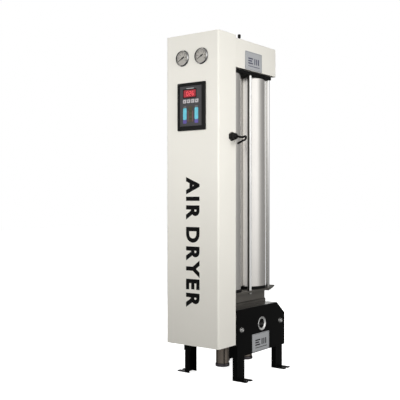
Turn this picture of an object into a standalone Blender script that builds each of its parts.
"""Twin-tower compressed-air dryer: two desiccant towers clamped between manifolds, a control
cabinet on the front, and a low base on four feet. Metres, +Z up, front face towards -Y.
Every piece is laid out from the floor point midway between the feet. The empty that carries
them all then brings the middle of the whole footprint to the origin."""

from math import cos, pi, radians, sin

import bmesh
import bpy
from mathutils import Matrix, Vector

# ---- Driving dimensions -------------------------------------------------------------------

GAP = 0.0003                # clearance left between pieces that rest on each other

# Cabinet
CABINET_HALF_WIDTH = 0.126
CABINET_FRONT = -0.290
CABINET_REAR = -0.175
CABINET_BOTTOM = 0.142
CABINET_TOP = 1.342
CABINET_SHEET = 0.002
CABINET_BEND = 0.008

# Pressure gauges in the cabinet front
GAUGE_SPACING = 0.091
GAUGE_HEIGHT = CABINET_TOP - 0.090
BEZEL_RADIUS = 0.0315
BEZEL_STANDS_OUT = 0.0065
GAUGE_BODY_RADIUS = 0.026
DIAL_RADIUS = 0.0275
NEEDLE_REST_ANGLE = radians(210)   # eight o'clock, seen from the front

# Control panel in the cabinet front
PANEL_WIDTH = 0.134
PANEL_HEIGHT = 0.184
PANEL_Z = CABINET_TOP - 0.188 - PANEL_HEIGHT / 2
FACE_LEFT, FACE_RIGHT = -0.056, 0.050
FACE_LOW, FACE_HIGH = -0.075, 0.080
FACE_STANDS_OUT = 0.0035
DISPLAY_LEFT, DISPLAY_RIGHT = -0.037, 0.021
DISPLAY_LOW, DISPLAY_HIGH = 0.0368, 0.0644
KEY_SIZE = (0.016, 0.0145)
KEY_PITCH = 0.0195
KEY_FIRST_X = -0.0320
KEY_Z = 0.0210
KEY_TRAVEL = 0.0012

# Cable gland and power cable on the cabinet's right side
GLAND_Y = -0.208
GLAND_Z = 0.946
CABLE_RADIUS = 0.004

# Towers, and the rods that clamp them
TOWER_RADIUS = 0.080
TOWER_WALL = 0.006
TOWER_Y = 0.092
TUBE_BOTTOM = 0.343
TUBE_TOP = 1.212
ROD_RADIUS = 0.008
CORNER_ROD = (0.072, 0.146)
MIDDLE_ROD_X = 0.0755

# End plates and manifolds
FLANGE_HALF_X = 0.088
FLANGE_HALF_Y = 0.157
FLANGE_CORNER = 0.014
FLANGE_BOTTOM, FLANGE_TOP = 0.324, 0.333
UPPER_GASKET_TOP = 0.0125 + TUBE_TOP
UPPER_MANIFOLD_HEIGHT = 0.065
LOWER_MANIFOLD_HALF = (0.066, 0.145)
LOWER_MANIFOLD_BOTTOM = 0.2623

# Top cover
COVER_HALF_X = 0.105
COVER_FRONT, COVER_REAR = -0.172, 0.162
COVER_TOP = 1.341
COVER_SHEET = 0.002
COVER_CORNER = 0.010
KNOB_XY = (0.080, -0.083)

# Base
BASE_OUTER_X = 0.131
PLATE_SHEET = 0.002
BASE_FRONT, BASE_REAR = -0.172, 0.186
BASE_BOTTOM, BASE_TOP = 0.092, 0.276
CHAMFER_Y, CHAMFER_Z = 0.063, 0.050
LEG_HALF_WIDTH = 0.0256
LEG_Y = 0.144
LEG_DEPTH = 0.022
LEG_SHEET = 0.003
LEG_TOP = 0.222
FOOT_END_X = 0.168
FOOT_THICKNESS = 0.004
BOLT_Y, BOLT_Z = 0.146, 0.197
PORT_Y, PORT_Z = 0.003, 0.203

# Valve block inside the base
BLOCK_HALF_X = 0.1285
BLOCK_HALF_Y = 0.110
BLOCK_BOTTOM = 0.150
GALLERY_RADIUS = 0.020
PORT_BORE = 0.017
PORT_SEAT = 0.0253
SILENCER_Y = 0.086
SILENCER_RADIUS = 0.0265
SILENCER_BOTTOM = 0.030
EXHAUST_BORE = 0.014

# Upper manifold passages
UPPER_GALLERY_RADIUS = 0.016
UPPER_GALLERY_Z = UPPER_GASKET_TOP + 0.033
OUTLET_Y = 0.040
OUTLET_BORE = 0.012

# Axes that a shape built along +Z can be turned to
FACING_FRONT = Matrix.Rotation(pi / 2, 4, "X")
FACING_RIGHT = Matrix(((0, 0, 1, 0), (1, 0, 0, 0), (0, 1, 0, 0), (0, 0, 0, 1)))
FACING_LEFT = Matrix.Rotation(pi, 4, "Z") @ FACING_RIGHT
ALONG_Y = Matrix.Rotation(-pi / 2, 4, "X")


# ---- Outlines -----------------------------------------------------------------------------

def circle(radius, segments=24, centre=(0, 0)):
    """A regular polygon with a flat side, not a corner, towards +X."""
    angles = [2 * pi * (i + 0.5) / segments for i in range(segments)]
    return [(centre[0] + radius * cos(a), centre[1] + radius * sin(a)) for a in angles]


def rectangle(x_low, x_high, y_low, y_high):
    return [(x_low, y_low), (x_high, y_low), (x_high, y_high), (x_low, y_high)]


def rounded_rectangle(x_low, x_high, y_low, y_high, radius, steps=4):
    """Corners are arcs of the given number of steps, starting at the lower left."""
    centres = rectangle(x_low + radius, x_high - radius, y_low + radius, y_high - radius)
    points = []
    for corner, (cx, cy) in enumerate(centres):
        for step in range(steps + 1):
            angle = pi + (corner + step / steps) * pi / 2
            points.append((cx + radius * cos(angle), cy + radius * sin(angle)))
    return points


def hexagon(across_flats):
    corner = across_flats / 2 / cos(pi / 6)
    return [(corner * cos(i * pi / 3), corner * sin(i * pi / 3)) for i in range(6)]


# ---- Solids -------------------------------------------------------------------------------

def prism(outline, low, high, holes=()):
    """The outline, less its holes, extruded along Z from low to high."""
    bm = bmesh.new()
    edges = []
    for loop in (outline, *holes):
        verts = [bm.verts.new((x, y, low)) for x, y in loop]
        edges += [bm.edges.new((verts[i - 1], verts[i])) for i in range(len(verts))]
    made = bmesh.ops.triangle_fill(bm, use_beauty=True, edges=edges)
    faces = [item for item in made["geom"] if isinstance(item, bmesh.types.BMFace)]
    raised = bmesh.ops.extrude_face_region(bm, geom=faces, use_keep_orig=True)
    top = [item for item in raised["geom"] if isinstance(item, bmesh.types.BMVert)]
    bmesh.ops.translate(bm, verts=top, vec=(0, 0, high - low))
    bmesh.ops.recalc_face_normals(bm, faces=bm.faces)
    return bm


def box(x, y, z):
    """A plain block from three (low, high) pairs."""
    return prism(rectangle(*x, *y), *z)


def turned(profile, segments=24, closed_on_axis=True):
    """A profile of (radius, height) points turned about Z. A ring's profile is a closed loop
    that stays off the axis; a solid's profile starts and ends on it."""
    bm = bmesh.new()
    rings = []
    for radius, height in profile:
        count = segments if radius > 0 else 1
        rings.append([bm.verts.new((x, y, height)) for x, y in circle(radius, count)])
    pairs = list(zip(rings, rings[1:]))
    if not closed_on_axis:
        pairs.append((rings[-1], rings[0]))
    for first, second in pairs:
        for i in range(segments):
            j = (i + 1) % segments
            corners = [first[i % len(first)], first[j % len(first)]]
            corners += [second[j % len(second)], second[i % len(second)]]
            bm.faces.new(list(dict.fromkeys(corners)))
    bmesh.ops.recalc_face_normals(bm, faces=bm.faces)
    return bm


def material(name, color, metallic, roughness):
    made = bpy.data.materials.new(name)
    made.use_nodes = True
    shader = made.node_tree.nodes["Principled BSDF"]
    shader.inputs["Base Color"].default_value = (*color, 1.0)
    shader.inputs["Metallic"].default_value = metallic
    shader.inputs["Roughness"].default_value = roughness
    return made


def add(name, bm, finish, location=(0, 0, 0), turn=None):
    """Makes the named object of a bmesh, first turned about its own origin."""
    if turn is not None:
        bmesh.ops.transform(bm, matrix=turn, verts=bm.verts)
    mesh = bpy.data.meshes.new(name)
    bm.to_mesh(mesh)
    bm.free()
    mesh.shade_smooth()
    mesh.set_sharp_from_angle(angle=radians(35))
    mesh.materials.append(finish)
    obj = bpy.data.objects.new(name, mesh)
    obj.location = location
    obj.parent = dryer
    bpy.context.scene.collection.objects.link(obj)
    return obj


def combine(obj, operation, bm, location=(0, 0, 0), turn=None):
    """Cuts from, or joins to, the object a helper shape that is not a piece itself."""
    helper = add(f"{obj.name}_{operation.lower()}_{len(obj.modifiers)}", bm, guide, location, turn)
    helper.hide_render = True
    helper.display_type = "WIRE"
    modifier = obj.modifiers.new(operation.title(), "BOOLEAN")
    modifier.operation = operation
    modifier.object = helper
    modifier.solver = "EXACT"


def cut(obj, bm, location=(0, 0, 0), turn=None):
    combine(obj, "DIFFERENCE", bm, location, turn)


def join(obj, bm, location=(0, 0, 0), turn=None):
    combine(obj, "UNION", bm, location, turn)


def cylinder(radius, low, high, segments=24):
    return prism(circle(radius, segments), low, high)


# ---- Cabinet ------------------------------------------------------------------------------

def cabinet():
    """A folded cover, open at the back, and the plate that closes it."""
    width, front, rear = CABINET_HALF_WIDTH, CABINET_FRONT, CABINET_REAR
    bend, sheet = CABINET_BEND, CABINET_SHEET

    def outline(inset, back):
        rounded = rounded_rectangle(
            -width + inset, width - inset, front + inset, back + bend, bend - inset
        )
        front_half = rounded[: len(rounded) // 2]
        return [*front_half, (width - inset, back), (-width + inset, back)]

    cover = add("cabinet_cover", prism(outline(0, rear), CABINET_BOTTOM, CABINET_TOP), paint)
    hollow = outline(sheet, rear + 0.01)
    cut(cover, prism(hollow, CABINET_BOTTOM + sheet, CABINET_TOP - sheet))
    for x in (-GAUGE_SPACING / 2, GAUGE_SPACING / 2):
        hole = cylinder(GAUGE_BODY_RADIUS + 0.0006, -0.01, 0.01)
        cut(cover, hole, (x, front, GAUGE_HEIGHT), FACING_FRONT)
    window = rectangle(FACE_LEFT - 0.001, FACE_RIGHT + 0.001, FACE_LOW - 0.001, FACE_HIGH + 0.001)
    cut(cover, prism(window, -0.01, 0.01), (0, front, PANEL_Z), FACING_FRONT)
    cut(cover, cylinder(0.0106, -0.01, 0.01, 16), (width, GLAND_Y, GLAND_Z), FACING_RIGHT)

    side = width - sheet - GAP
    low, high = CABINET_BOTTOM + sheet + GAP, CABINET_TOP - sheet - GAP
    add("cabinet_back_plate", box((-side, side), (rear - sheet, rear), (low, high)), paint)


def gauge(side, x):
    """Case with dial, pointer on its arbor, and lens. Heights run out from the cabinet front."""
    centre = (x, CABINET_FRONT, GAUGE_HEIGHT)
    dial, arbor_hole = 0.0015, 0.0016
    case = turned([
        (0, -0.028), (GAUGE_BODY_RADIUS, -0.028), (GAUGE_BODY_RADIUS, GAP),
        (BEZEL_RADIUS, GAP), (BEZEL_RADIUS, BEZEL_STANDS_OUT - 0.0015),
        (BEZEL_RADIUS - 0.0015, BEZEL_STANDS_OUT), (DIAL_RADIUS, BEZEL_STANDS_OUT),
        (DIAL_RADIUS, dial), (arbor_hole, dial),
        (arbor_hole, -0.003), (0, -0.003),
    ])
    add(f"gauge_case_{side}", case, bezel_black, centre, FACING_FRONT)
    lens = cylinder(DIAL_RADIUS - GAP, 0.0046, 0.0058)
    add(f"gauge_lens_{side}", lens, clear, centre, FACING_FRONT)

    hub = [(0.0030 * cos(a), 0.0030 * sin(a)) for a in (radians(20 + 40 * i) for i in range(9))]
    tail, tip = 0.0080, 0.0220
    pointer = [(tip, 0), *hub[:4], (-tail, 0.0012), (-tail, -0.0012), *hub[5:]]
    needle = add(
        f"gauge_needle_{side}", prism(pointer, 0.0020, 0.0030), black_plastic, centre,
        FACING_FRONT @ Matrix.Rotation(NEEDLE_REST_ANGLE, 4, "Z"),
    )
    join(needle, cylinder(0.0011, -0.0025, 0.0025, 10), centre, FACING_FRONT)


def control_panel():
    """A bezel frame, the controller module behind it, a display window and four keys."""
    centre = (0, CABINET_FRONT, PANEL_Z)
    half_width, half_height = PANEL_WIDTH / 2, PANEL_HEIGHT / 2
    outer = rounded_rectangle(-half_width, half_width, -half_height, half_height, 0.004, 3)
    opening = rectangle(FACE_LEFT, FACE_RIGHT, FACE_LOW, FACE_HIGH)
    add(
        "control_panel_frame", prism(outer, GAP, 0.006, [opening]), bezel_black, centre,
        FACING_FRONT,
    )
    body = rectangle(FACE_LEFT + GAP, FACE_RIGHT - GAP, FACE_LOW + GAP, FACE_HIGH - GAP)
    module = add(
        "controller_module", prism(body, -0.045, FACE_STANDS_OUT), panel_grey, centre,
        FACING_FRONT,
    )
    pocket = rectangle(DISPLAY_LEFT, DISPLAY_RIGHT, DISPLAY_LOW, DISPLAY_HIGH)
    cut(module, prism(pocket, FACE_STANDS_OUT - 0.0018, 0.01), centre, FACING_FRONT)
    window = rectangle(
        DISPLAY_LEFT + GAP, DISPLAY_RIGHT - GAP, DISPLAY_LOW + GAP, DISPLAY_HIGH - GAP
    )
    top = FACE_STANDS_OUT + 0.0004
    add("display_window", prism(window, top - 0.0018, top), red_lens, centre, FACING_FRONT)

    half_key = (KEY_SIZE[0] / 2, KEY_SIZE[1] / 2)
    well = FACE_STANDS_OUT - KEY_TRAVEL - 0.0012
    for i in range(4):
        place = (KEY_FIRST_X + i * KEY_PITCH, CABINET_FRONT, PANEL_Z + KEY_Z)
        hole = rectangle(-half_key[0] - GAP, half_key[0] + GAP, -half_key[1] - GAP, half_key[1] + GAP)
        cut(module, prism(hole, well, 0.01), place, FACING_FRONT)
        cap = rounded_rectangle(-half_key[0], half_key[0], -half_key[1], half_key[1], 0.002, 2)
        key = prism(cap, well + KEY_TRAVEL + GAP, FACE_STANDS_OUT + 0.0014)
        add(f"panel_key_{i + 1}", key, key_white, place, FACING_FRONT)


def cabinet_fittings():
    """Pilot valves inside the cabinet, and the gland and cable on its right side."""
    step = [
        (-0.060, 0), (0.060, 0), (0.060, 0.032), (0.045, 0.032), (0.045, 0.078), (0.015, 0.078),
        (0.015, 0.032), (-0.015, 0.032), (-0.015, 0.078), (-0.045, 0.078), (-0.045, 0.032),
        (-0.060, 0.032),
    ]
    back = CABINET_REAR - CABINET_SHEET - GAP
    add("pilot_valve_block", prism(step, 0, 0.036), aluminium, (0, back, 0.300), FACING_FRONT)

    place = (CABINET_HALF_WIDTH, GLAND_Y, GLAND_Z)
    bore, thread, dome = CABLE_RADIUS + 0.0006, 0.0100, 0.0130
    gland = turned([
        (bore, -0.014), (thread, -0.014), (thread, 0.002), (dome, 0.002), (dome, 0.022),
        (0.0095, 0.028), (bore, 0.028),
    ], 16, closed_on_axis=False)
    obj = add("cable_gland", gland, black_plastic, place, FACING_RIGHT)
    flange = prism(hexagon(0.030), GAP, 0.010, [circle(0.0073, 16)])
    join(obj, flange, place, FACING_RIGHT)

    x, y, z = place
    path = [
        (x - 0.030, y, z), (x + 0.029, y, z), (x + 0.0365, y + 0.010, z - 0.001),
        (x + 0.0370, y + 0.028, z), (x + 0.0370, y + 0.044, z + 0.001),
        (x + 0.0365, y + 0.045, z - 0.008), (x + 0.0360, y + 0.026, z - 0.015),
        (x + 0.0345, y - 0.004, z - 0.022),
    ]
    curve = bpy.data.curves.new("power_cable", "CURVE")
    curve.dimensions = "3D"
    curve.bevel_depth = CABLE_RADIUS
    curve.bevel_resolution = 1
    curve.resolution_u = 3
    curve.use_fill_caps = True
    spline = curve.splines.new("BEZIER")
    spline.bezier_points.add(len(path) - 1)
    for i, point in enumerate(spline.bezier_points):
        point.co = path[i]
        point.handle_left_type = point.handle_right_type = "VECTOR" if i < 2 else "AUTO"
    curve.materials.append(black_plastic)
    cable = bpy.data.objects.new("power_cable", curve)
    cable.parent = dryer
    bpy.context.scene.collection.objects.link(cable)


# ---- Towers -------------------------------------------------------------------------------

def rods():
    """(name, x, y) of each clamping rod, seen from above."""
    x, y = CORNER_ROD
    return [
        ("front_right", x, -y), ("front_left", -x, -y),
        ("middle_right", MIDDLE_ROD_X, 0), ("middle_left", -MIDDLE_ROD_X, 0),
        ("rear_right", x, y), ("rear_left", -x, y),
    ]


def rod_holes(radius, segments=16):
    return [circle(radius, segments, (x, y)) for _, x, y in rods()]


def towers():
    """Two tubes, each with its desiccant bed and the spring that keeps the bed packed."""
    inner = TOWER_RADIUS - TOWER_WALL
    bed_bottom, bed_top = TUBE_BOTTOM + 0.008, TUBE_TOP - 0.044
    for name, y in (("front", -TOWER_Y), ("rear", TOWER_Y)):
        wall = [
            (inner, TUBE_BOTTOM), (TOWER_RADIUS, TUBE_BOTTOM), (TOWER_RADIUS, TUBE_TOP),
            (inner, TUBE_TOP),
        ]
        tube = turned(wall, 48, closed_on_axis=False)
        add(f"tower_tube_{name}", tube, satin_aluminium, (0, y, 0))
        bed = cylinder(inner - 0.001, bed_bottom, bed_top, 28)
        add(f"desiccant_bed_{name}", bed, desiccant, (0, y, 0))
        spring = coil(0.046, 0.0025, bed_top + 0.0035, TUBE_TOP - 0.0035, turns=3)
        add(f"bed_spring_{name}", spring, steel, (0, y, 0))


def coil(radius, wire, low, high, turns, steps=14, sides=5):
    """A helical wire with flat ends."""
    bm = bmesh.new()
    count = turns * steps
    rings = []
    for i in range(count + 1):
        angle = 2 * pi * i / steps
        height = low + (high - low) * i / count
        outward = Vector((cos(angle), sin(angle), 0))
        centre = outward * radius + Vector((0, 0, height))
        ring = []
        for x, z in circle(wire, sides):
            ring.append(bm.verts.new(centre + outward * x + Vector((0, 0, z))))
        rings.append(ring)
    for first, second in zip(rings, rings[1:]):
        for i in range(sides):
            j = (i + 1) % sides
            bm.faces.new((first[i], first[j], second[j], second[i]))
    bm.faces.new(rings[0])
    bm.faces.new(rings[-1])
    bmesh.ops.recalc_face_normals(bm, faces=bm.faces)
    return bm


def tie_rods():
    """Long screws whose heads sit on the upper manifold and whose ends show under the flange."""
    top = UPPER_GASKET_TOP + UPPER_MANIFOLD_HEIGHT + GAP
    for name, x, y in rods():
        shank = cylinder(ROD_RADIUS, FLANGE_BOTTOM - 0.005, top + 0.004, 16)
        rod = add(f"tie_rod_{name}", shank, steel, (x, y, 0))
        join(rod, prism(hexagon(0.019), top, top + 0.010), (x, y, 0), Matrix.Rotation(pi / 6, 4, "Z"))


def flange_outline(steps=3):
    return rounded_rectangle(
        -FLANGE_HALF_X, FLANGE_HALF_X, -FLANGE_HALF_Y, FLANGE_HALF_Y, FLANGE_CORNER, steps
    )


def flanges_and_gaskets():
    openings = [circle(TOWER_RADIUS - 0.010, 28, (0, y)) for y in (-TOWER_Y, TOWER_Y)]
    holes = rod_holes(ROD_RADIUS + 0.0005)
    upper = prism(flange_outline(), TUBE_TOP + GAP, UPPER_GASKET_TOP - GAP, [*openings, *holes])
    add("upper_gasket", upper, rubber)

    low, high = FLANGE_TOP + GAP, TUBE_BOTTOM - GAP
    pad = prism(circle(TOWER_RADIUS + 0.0012, 28), low, high, [circle(TOWER_RADIUS - 0.010, 28)])
    gasket = add("lower_gasket", pad, rubber, (0, -TOWER_Y, 0))
    other = prism(circle(TOWER_RADIUS + 0.0012, 28), low, high, [circle(TOWER_RADIUS - 0.010, 28)])
    join(gasket, other, (0, TOWER_Y, 0))
    bridge = TOWER_Y - TOWER_RADIUS + 0.004
    join(gasket, box((-0.020, 0.020), (-bridge, bridge), (low, high)))

    ports = [circle(0.022, 20, (0, y)) for y in (-TOWER_Y, TOWER_Y)]
    plate = add(
        "lower_flange_plate",
        prism(flange_outline(), FLANGE_BOTTOM, FLANGE_TOP, [*ports, *holes]), grey_metal,
    )
    rear, base = FLANGE_HALF_Y, FLANGE_BOTTOM + 0.002
    lug = [
        (rear - 0.0022, base), (rear + 0.003, base), (rear + 0.026, base + 0.008),
        (rear + 0.026, base + 0.013), (rear + 0.003, base + 0.005), (rear - 0.0022, base + 0.005),
    ]
    join(plate, prism(lug, 0.050, 0.083), turn=FACING_RIGHT)


# ---- Manifolds ----------------------------------------------------------------------------

def upper_manifold():
    """Joins the tower tops to the outlet, with a shuttle that closes off the idle tower."""
    low, high = UPPER_GASKET_TOP, UPPER_GASKET_TOP + UPPER_MANIFOLD_HEIGHT
    block = add(
        "upper_manifold",
        prism(flange_outline(), low, high, rod_holes(ROD_RADIUS + 0.0005)), aluminium,
    )
    axis = (0, 0, UPPER_GALLERY_Z)
    cut(block, cylinder(UPPER_GALLERY_RADIUS, -0.104, 0.104, 20), axis, ALONG_Y)
    for y in (-TOWER_Y, TOWER_Y):
        cut(block, cylinder(0.011, low - 0.01, UPPER_GALLERY_Z - 0.003, 16), (0, y, 0))
    outlet = (0, OUTLET_Y, UPPER_GALLERY_Z)
    cut(block, cylinder(OUTLET_BORE, 0.003, FLANGE_HALF_X + 0.01, 16), outlet, FACING_LEFT)
    seat = cylinder(0.0165, FLANGE_HALF_X - 0.012, FLANGE_HALF_X + 0.01, 20)
    cut(block, seat, outlet, FACING_LEFT)
    cut(block, cylinder(0.0035, high - 0.020, high + 0.01, 12), (*KNOB_XY, 0))

    spool("outlet_shuttle", UPPER_GALLERY_RADIUS - 0.0006, 20, axis)


def spool(name, radius, segments, centre):
    """Two lands on a thin stem, sliding along Y."""
    end, land, stem = 0.064, 0.010, 0.005
    profile = [
        (0, -end), (radius, -end), (radius, land - end), (stem, land - end),
        (stem, end - land), (radius, end - land), (radius, end), (0, end),
    ]
    add(name, turned(profile, segments), brass, centre, ALONG_Y)


def top_cover():
    """White shell over the upper manifold, its knob, nameplate and the outlet port."""
    def outline(inset):
        return rounded_rectangle(
            -COVER_HALF_X + inset, COVER_HALF_X - inset, COVER_FRONT + inset,
            COVER_REAR - inset, COVER_CORNER - inset,
        )

    low = UPPER_GASKET_TOP + GAP
    cover = add("top_cover", prism(outline(0), low, COVER_TOP), paint)
    cut(cover, prism(outline(COVER_SHEET), low - 0.01, COVER_TOP - COVER_SHEET))
    outlet = (0, OUTLET_Y, UPPER_GALLERY_Z)
    hole = cylinder(0.0206, COVER_HALF_X - 0.01, COVER_HALF_X + 0.01, 20)
    cut(cover, hole, outlet, FACING_LEFT)
    cut(cover, cylinder(0.0036, COVER_TOP - 0.01, COVER_TOP + 0.01, 12), (*KNOB_XY, 0))

    manifold_top = UPPER_GASKET_TOP + UPPER_MANIFOLD_HEIGHT
    knob = turned([
        (0, manifold_top - 0.018), (0.0028, manifold_top - 0.018), (0.0028, COVER_TOP + GAP),
        (0.0060, COVER_TOP + GAP), (0.0060, COVER_TOP + 0.022), (0.0045, COVER_TOP + 0.025),
        (0, COVER_TOP + 0.025),
    ], 14)
    add("top_cover_knob", knob, black_plastic, (*KNOB_XY, 0))

    plate = rounded_rectangle(-0.062, 0.062, 0, 0.074, 0.003, 2)
    place = (COVER_HALF_X + GAP, -0.017, UPPER_GASKET_TOP + 0.0015)
    add("top_nameplate", prism(plate, 0, 0.001), label_metal, place, FACING_RIGHT)

    face, inner = COVER_HALF_X + GAP, FLANGE_HALF_X + GAP
    ring = turned([
        (OUTLET_BORE, inner - 0.011), (0.0160, inner - 0.011), (0.0160, inner),
        (0.0200, inner), (0.0200, face), (0.0250, face), (0.0250, face + 0.003),
        (0.0150, face + 0.003), (OUTLET_BORE, face),
    ], 20, closed_on_axis=False)
    add("outlet_port_ring", ring, chrome, outlet, FACING_LEFT)


def lower_manifold():
    half_x, half_y = LOWER_MANIFOLD_HALF
    outline = rounded_rectangle(-half_x, half_x, -half_y, half_y, 0.010)
    ports = [circle(0.018, 20, (0, y)) for y in (-TOWER_Y, TOWER_Y)]
    block = prism(outline, LOWER_MANIFOLD_BOTTOM, FLANGE_BOTTOM - GAP, ports)
    add("lower_manifold", block, grey_metal)


def valve_block():
    """Inlet gallery with its shuttle, and an exhaust valve under each tower's port."""
    low, high = BLOCK_BOTTOM, LOWER_MANIFOLD_BOTTOM - GAP
    block = add(
        "valve_block",
        box((-BLOCK_HALF_X, BLOCK_HALF_X), (-BLOCK_HALF_Y, BLOCK_HALF_Y), (low, high)), aluminium,
    )
    axis = (0, 0, PORT_Z)
    cut(block, cylinder(GALLERY_RADIUS, -0.107, 0.107), axis, ALONG_Y)
    port = (0, PORT_Y, PORT_Z)
    through = BLOCK_HALF_X + 0.01
    cut(block, cylinder(PORT_BORE, -through, through), port, FACING_RIGHT)
    for side in (FACING_RIGHT, FACING_LEFT):
        seat = cylinder(PORT_SEAT, BLOCK_HALF_X - 0.021, through)
        cut(block, seat, port, side)
    for sign in (-1, 1):
        riser = cylinder(0.012, PORT_Z + 0.0030, high + 0.01, 16)
        cut(block, riser, (0, sign * TOWER_Y, 0))
        vent = cylinder(EXHAUST_BORE, low - 0.01, PORT_Z - 0.0030, 20)
        cut(block, vent, (0, sign * SILENCER_Y, 0))
        cut(block, cylinder(0.0206, low - 0.01, low + 0.012, 20), (0, sign * SILENCER_Y, 0))
    spool("inlet_shuttle", GALLERY_RADIUS - 0.0006, 24, axis)


def exhausts():
    """A poppet that drops to vent each tower, and the silencer it vents through."""
    top = BLOCK_BOTTOM - GAP
    for name, y in (("front", -SILENCER_Y), ("rear", SILENCER_Y)):
        poppet = turned([
            (0, 0.150), (0.004, 0.150), (0.004, 0.173), (EXHAUST_BORE - 0.0007, 0.173),
            (EXHAUST_BORE - 0.0007, 0.180), (0, 0.180),
        ], 20)
        add(f"exhaust_piston_{name}", poppet, brass, (0, y, 0))
        rim, body, neck, throat = 0.0290, SILENCER_RADIUS, 0.0200, 0.0110
        bottom = SILENCER_BOTTOM
        shape = turned([
            (0, bottom), (rim - 0.002, bottom), (rim, bottom + 0.002), (rim, bottom + 0.012),
            (body, bottom + 0.015), (body, top), (neck, top), (neck, top + 0.010),
            (throat, top + 0.010), (throat, 0.110), (0, 0.110),
        ], 28)
        add(f"silencer_{name}", shape, gunmetal, (0, y, 0))


# ---- Base ---------------------------------------------------------------------------------

def base_outline():
    """(y, z) of the side plates, and of the sheet folded over the back between them."""
    return [
        (BASE_FRONT, BASE_BOTTOM), (BASE_REAR, BASE_BOTTOM),
        (BASE_REAR, BASE_TOP - CHAMFER_Z), (BASE_REAR - CHAMFER_Y, BASE_TOP),
        (BASE_FRONT, BASE_TOP),
    ]


def side_plates():
    inner = BASE_OUTER_X - PLATE_SHEET
    for name, side in (("right", FACING_RIGHT), ("left", FACING_LEFT)):
        sign = 1 if name == "right" else -1
        outline = [(sign * y, z) for y, z in base_outline()]
        holes = [circle(0.0256, 24, (sign * PORT_Y, PORT_Z))]
        holes += [circle(0.0065, 12, (y, BOLT_Z)) for y in (-BOLT_Y, BOLT_Y)]
        plate = add(
            f"side_plate_{name}", prism(outline, inner, BASE_OUTER_X, holes), black_paint,
            turn=side,
        )
        reach = sorted((sign * (BASE_OUTER_X - 0.036), sign * (inner + 0.001)))
        front = (BASE_FRONT, BASE_FRONT + PLATE_SHEET)
        join(plate, box(reach, front, (BASE_BOTTOM, BASE_TOP - PLATE_SHEET - 0.001)))


def base_cover():
    """One sheet folded over the top, slope and back, with an opening for the manifold."""
    sheet = PLATE_SHEET
    slope = CHAMFER_Z / CHAMFER_Y
    outer = base_outline()[1:]
    inner = [
        (BASE_FRONT, BASE_TOP - sheet),
        (BASE_REAR - CHAMFER_Y - sheet * slope / 2, BASE_TOP - sheet),
        (BASE_REAR - sheet, BASE_TOP - CHAMFER_Z - sheet * slope / 2),
        (BASE_REAR - sheet, BASE_BOTTOM),
    ]
    reach = BASE_OUTER_X - PLATE_SHEET - GAP
    cover = add("base_cover", prism([*outer, *inner], -reach, reach), black_paint, turn=FACING_RIGHT)
    half_x, half_y = LOWER_MANIFOLD_HALF
    opening = rectangle(-half_x - 0.001, half_x + 0.001, -half_y - 0.001, half_y + 0.001)
    cut(cover, prism(opening, BASE_TOP - 0.03, BASE_TOP + 0.01))


def leg(name, side, y):
    """A channel with its web outwards, and a slotted foot bent outwards at the floor."""
    outer = BASE_OUTER_X - PLATE_SHEET - GAP
    inner, depth = outer - LEG_SHEET, outer - LEG_DEPTH
    half, wall = LEG_HALF_WIDTH, LEG_HALF_WIDTH - LEG_SHEET
    channel = [
        (outer, -half), (outer, half), (depth, half), (depth, wall), (inner, wall),
        (inner, -wall), (depth, -wall), (depth, -half),
    ]
    place = (0, y, 0)
    channel = [(side * x, across) for x, across in channel]
    obj = add(f"leg_{name}", prism(channel, 0, LEG_TOP), black_paint, place)
    slot_start, slot_half = FOOT_END_X - 0.024, 0.007
    root, foot_half = inner + 0.001, half - 0.0005
    foot = [
        (root, -foot_half), (FOOT_END_X, -foot_half), (FOOT_END_X, -slot_half),
        (slot_start, -slot_half), (slot_start, slot_half), (FOOT_END_X, slot_half),
        (FOOT_END_X, foot_half), (root, foot_half),
    ]
    foot = [(side * x, across) for x, across in foot]
    join(obj, prism(foot, 0, FOOT_THICKNESS), place)
    offset = (BOLT_Y - LEG_Y) * (1 if y > 0 else -1)
    hole = cylinder(0.0065, outer - 0.01, outer + 0.01, 12)
    cut(obj, hole, (0, y + offset, BOLT_Z), FACING_RIGHT if side > 0 else FACING_LEFT)


def base_fasteners():
    """Bolts that hold the legs, the port ring, the plug opposite it, and the nameplate."""
    face = BASE_OUTER_X + GAP
    for name, side, sign in (("right", FACING_RIGHT, 1), ("left", FACING_LEFT, -1)):
        for end, y in (("front", -BOLT_Y), ("rear", BOLT_Y)):
            profile = [
                (0, face - 0.014), (0.0058, face - 0.014), (0.0058, face), (0.0105, face),
                (0.0105, face + 0.002), (0, face + 0.002),
            ]
            place = (0, y, BOLT_Z)
            bolt = add(f"side_bolt_{end}_{name}", turned(profile, 16), steel, place, side)
            join(bolt, prism(hexagon(0.016), face + 0.001, face + 0.008), place, side)

    seat = PORT_SEAT - 0.0005
    depth = face - 0.020
    ring = turned([
        (PORT_BORE, depth), (seat, depth), (seat, face), (0.028, face), (0.028, face + 0.002),
        (0.026, face + 0.0035), (0.022, face + 0.0035), (0.0195, face - 0.002),
        (PORT_BORE, face - 0.004),
    ], 28, closed_on_axis=False)
    add("inlet_port_ring", ring, chrome, (0, PORT_Y, PORT_Z), FACING_RIGHT)
    plug = turned([
        (0, depth), (seat, depth), (seat, face), (0.028, face), (0.028, face + 0.003),
        (0.008, face + 0.003), (0.008, face - 0.008), (0, face - 0.008),
    ], 24)
    add("inlet_blanking_plug", plug, chrome, (0, PORT_Y, PORT_Z), FACING_LEFT)
    plate = rounded_rectangle(-0.064, 0.064, 0, 0.073, 0.002, 2)
    place = (face, -0.004, BASE_BOTTOM + 0.002)
    add("lower_nameplate", prism(plate, 0, 0.001), label_metal, place, FACING_RIGHT)


# ---- Build --------------------------------------------------------------------------------

for old in list(bpy.data.objects):
    bpy.data.objects.remove(old)

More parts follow.
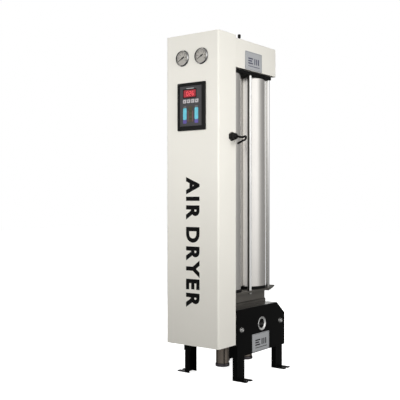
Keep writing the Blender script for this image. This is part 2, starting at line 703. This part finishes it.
paint = material("cabinet_paint", (0.80, 0.79, 0.76), 0.0, 0.35)
black_paint = material("black_paint", (0.012, 0.012, 0.013), 0.0, 0.32)
grey_metal = material("grey_casting", (0.20, 0.20, 0.20), 0.8, 0.45)
satin_aluminium = material("satin_aluminium", (0.78, 0.78, 0.77), 1.0, 0.30)
aluminium = material("machined_aluminium", (0.70, 0.70, 0.71), 1.0, 0.38)
steel = material("bright_steel", (0.75, 0.75, 0.76), 1.0, 0.18)
chrome = material("chrome", (0.85, 0.85, 0.86), 1.0, 0.08)
gunmetal = material("gunmetal", (0.30, 0.27, 0.24), 0.9, 0.40)
brass = material("brass", (0.72, 0.55, 0.28), 1.0, 0.30)
bezel_black = material("bezel_black", (0.03, 0.03, 0.03), 0.1, 0.35)
panel_grey = material("panel_grey", (0.10, 0.10, 0.11), 0.0, 0.45)
key_white = material("key_white", (0.62, 0.62, 0.62), 0.0, 0.45)
red_lens = material("red_lens", (0.55, 0.02, 0.03), 0.0, 0.15)
clear = material("clear_glass", (0.90, 0.92, 0.92), 0.0, 0.05)
label_metal = material("label_metal", (0.45, 0.45, 0.47), 0.9, 0.40)
black_plastic = material("black_plastic", (0.02, 0.02, 0.02), 0.0, 0.45)
rubber = material("rubber", (0.015, 0.015, 0.015), 0.0, 0.80)
desiccant = material("desiccant", (0.85, 0.83, 0.78), 0.0, 0.90)
guide = material("guide", (1.0, 0.5, 0.0), 0.0, 0.50)

dryer = bpy.data.objects.new("dryer", None)
dryer.location.y = -(CABINET_FRONT - BEZEL_STANDS_OUT + BASE_REAR) / 2
bpy.context.scene.collection.objects.link(dryer)

cabinet()
gauge("left", -GAUGE_SPACING / 2)
gauge("right", GAUGE_SPACING / 2)
control_panel()
cabinet_fittings()
towers()
tie_rods()
flanges_and_gaskets()
upper_manifold()
top_cover()
lower_manifold()
valve_block()
exhausts()
side_plates()
base_cover()
for end, y in (("front", -LEG_Y), ("rear", LEG_Y)):
    leg(f"{end}_right", 1, y)
    leg(f"{end}_left", -1, y)
base_fasteners()
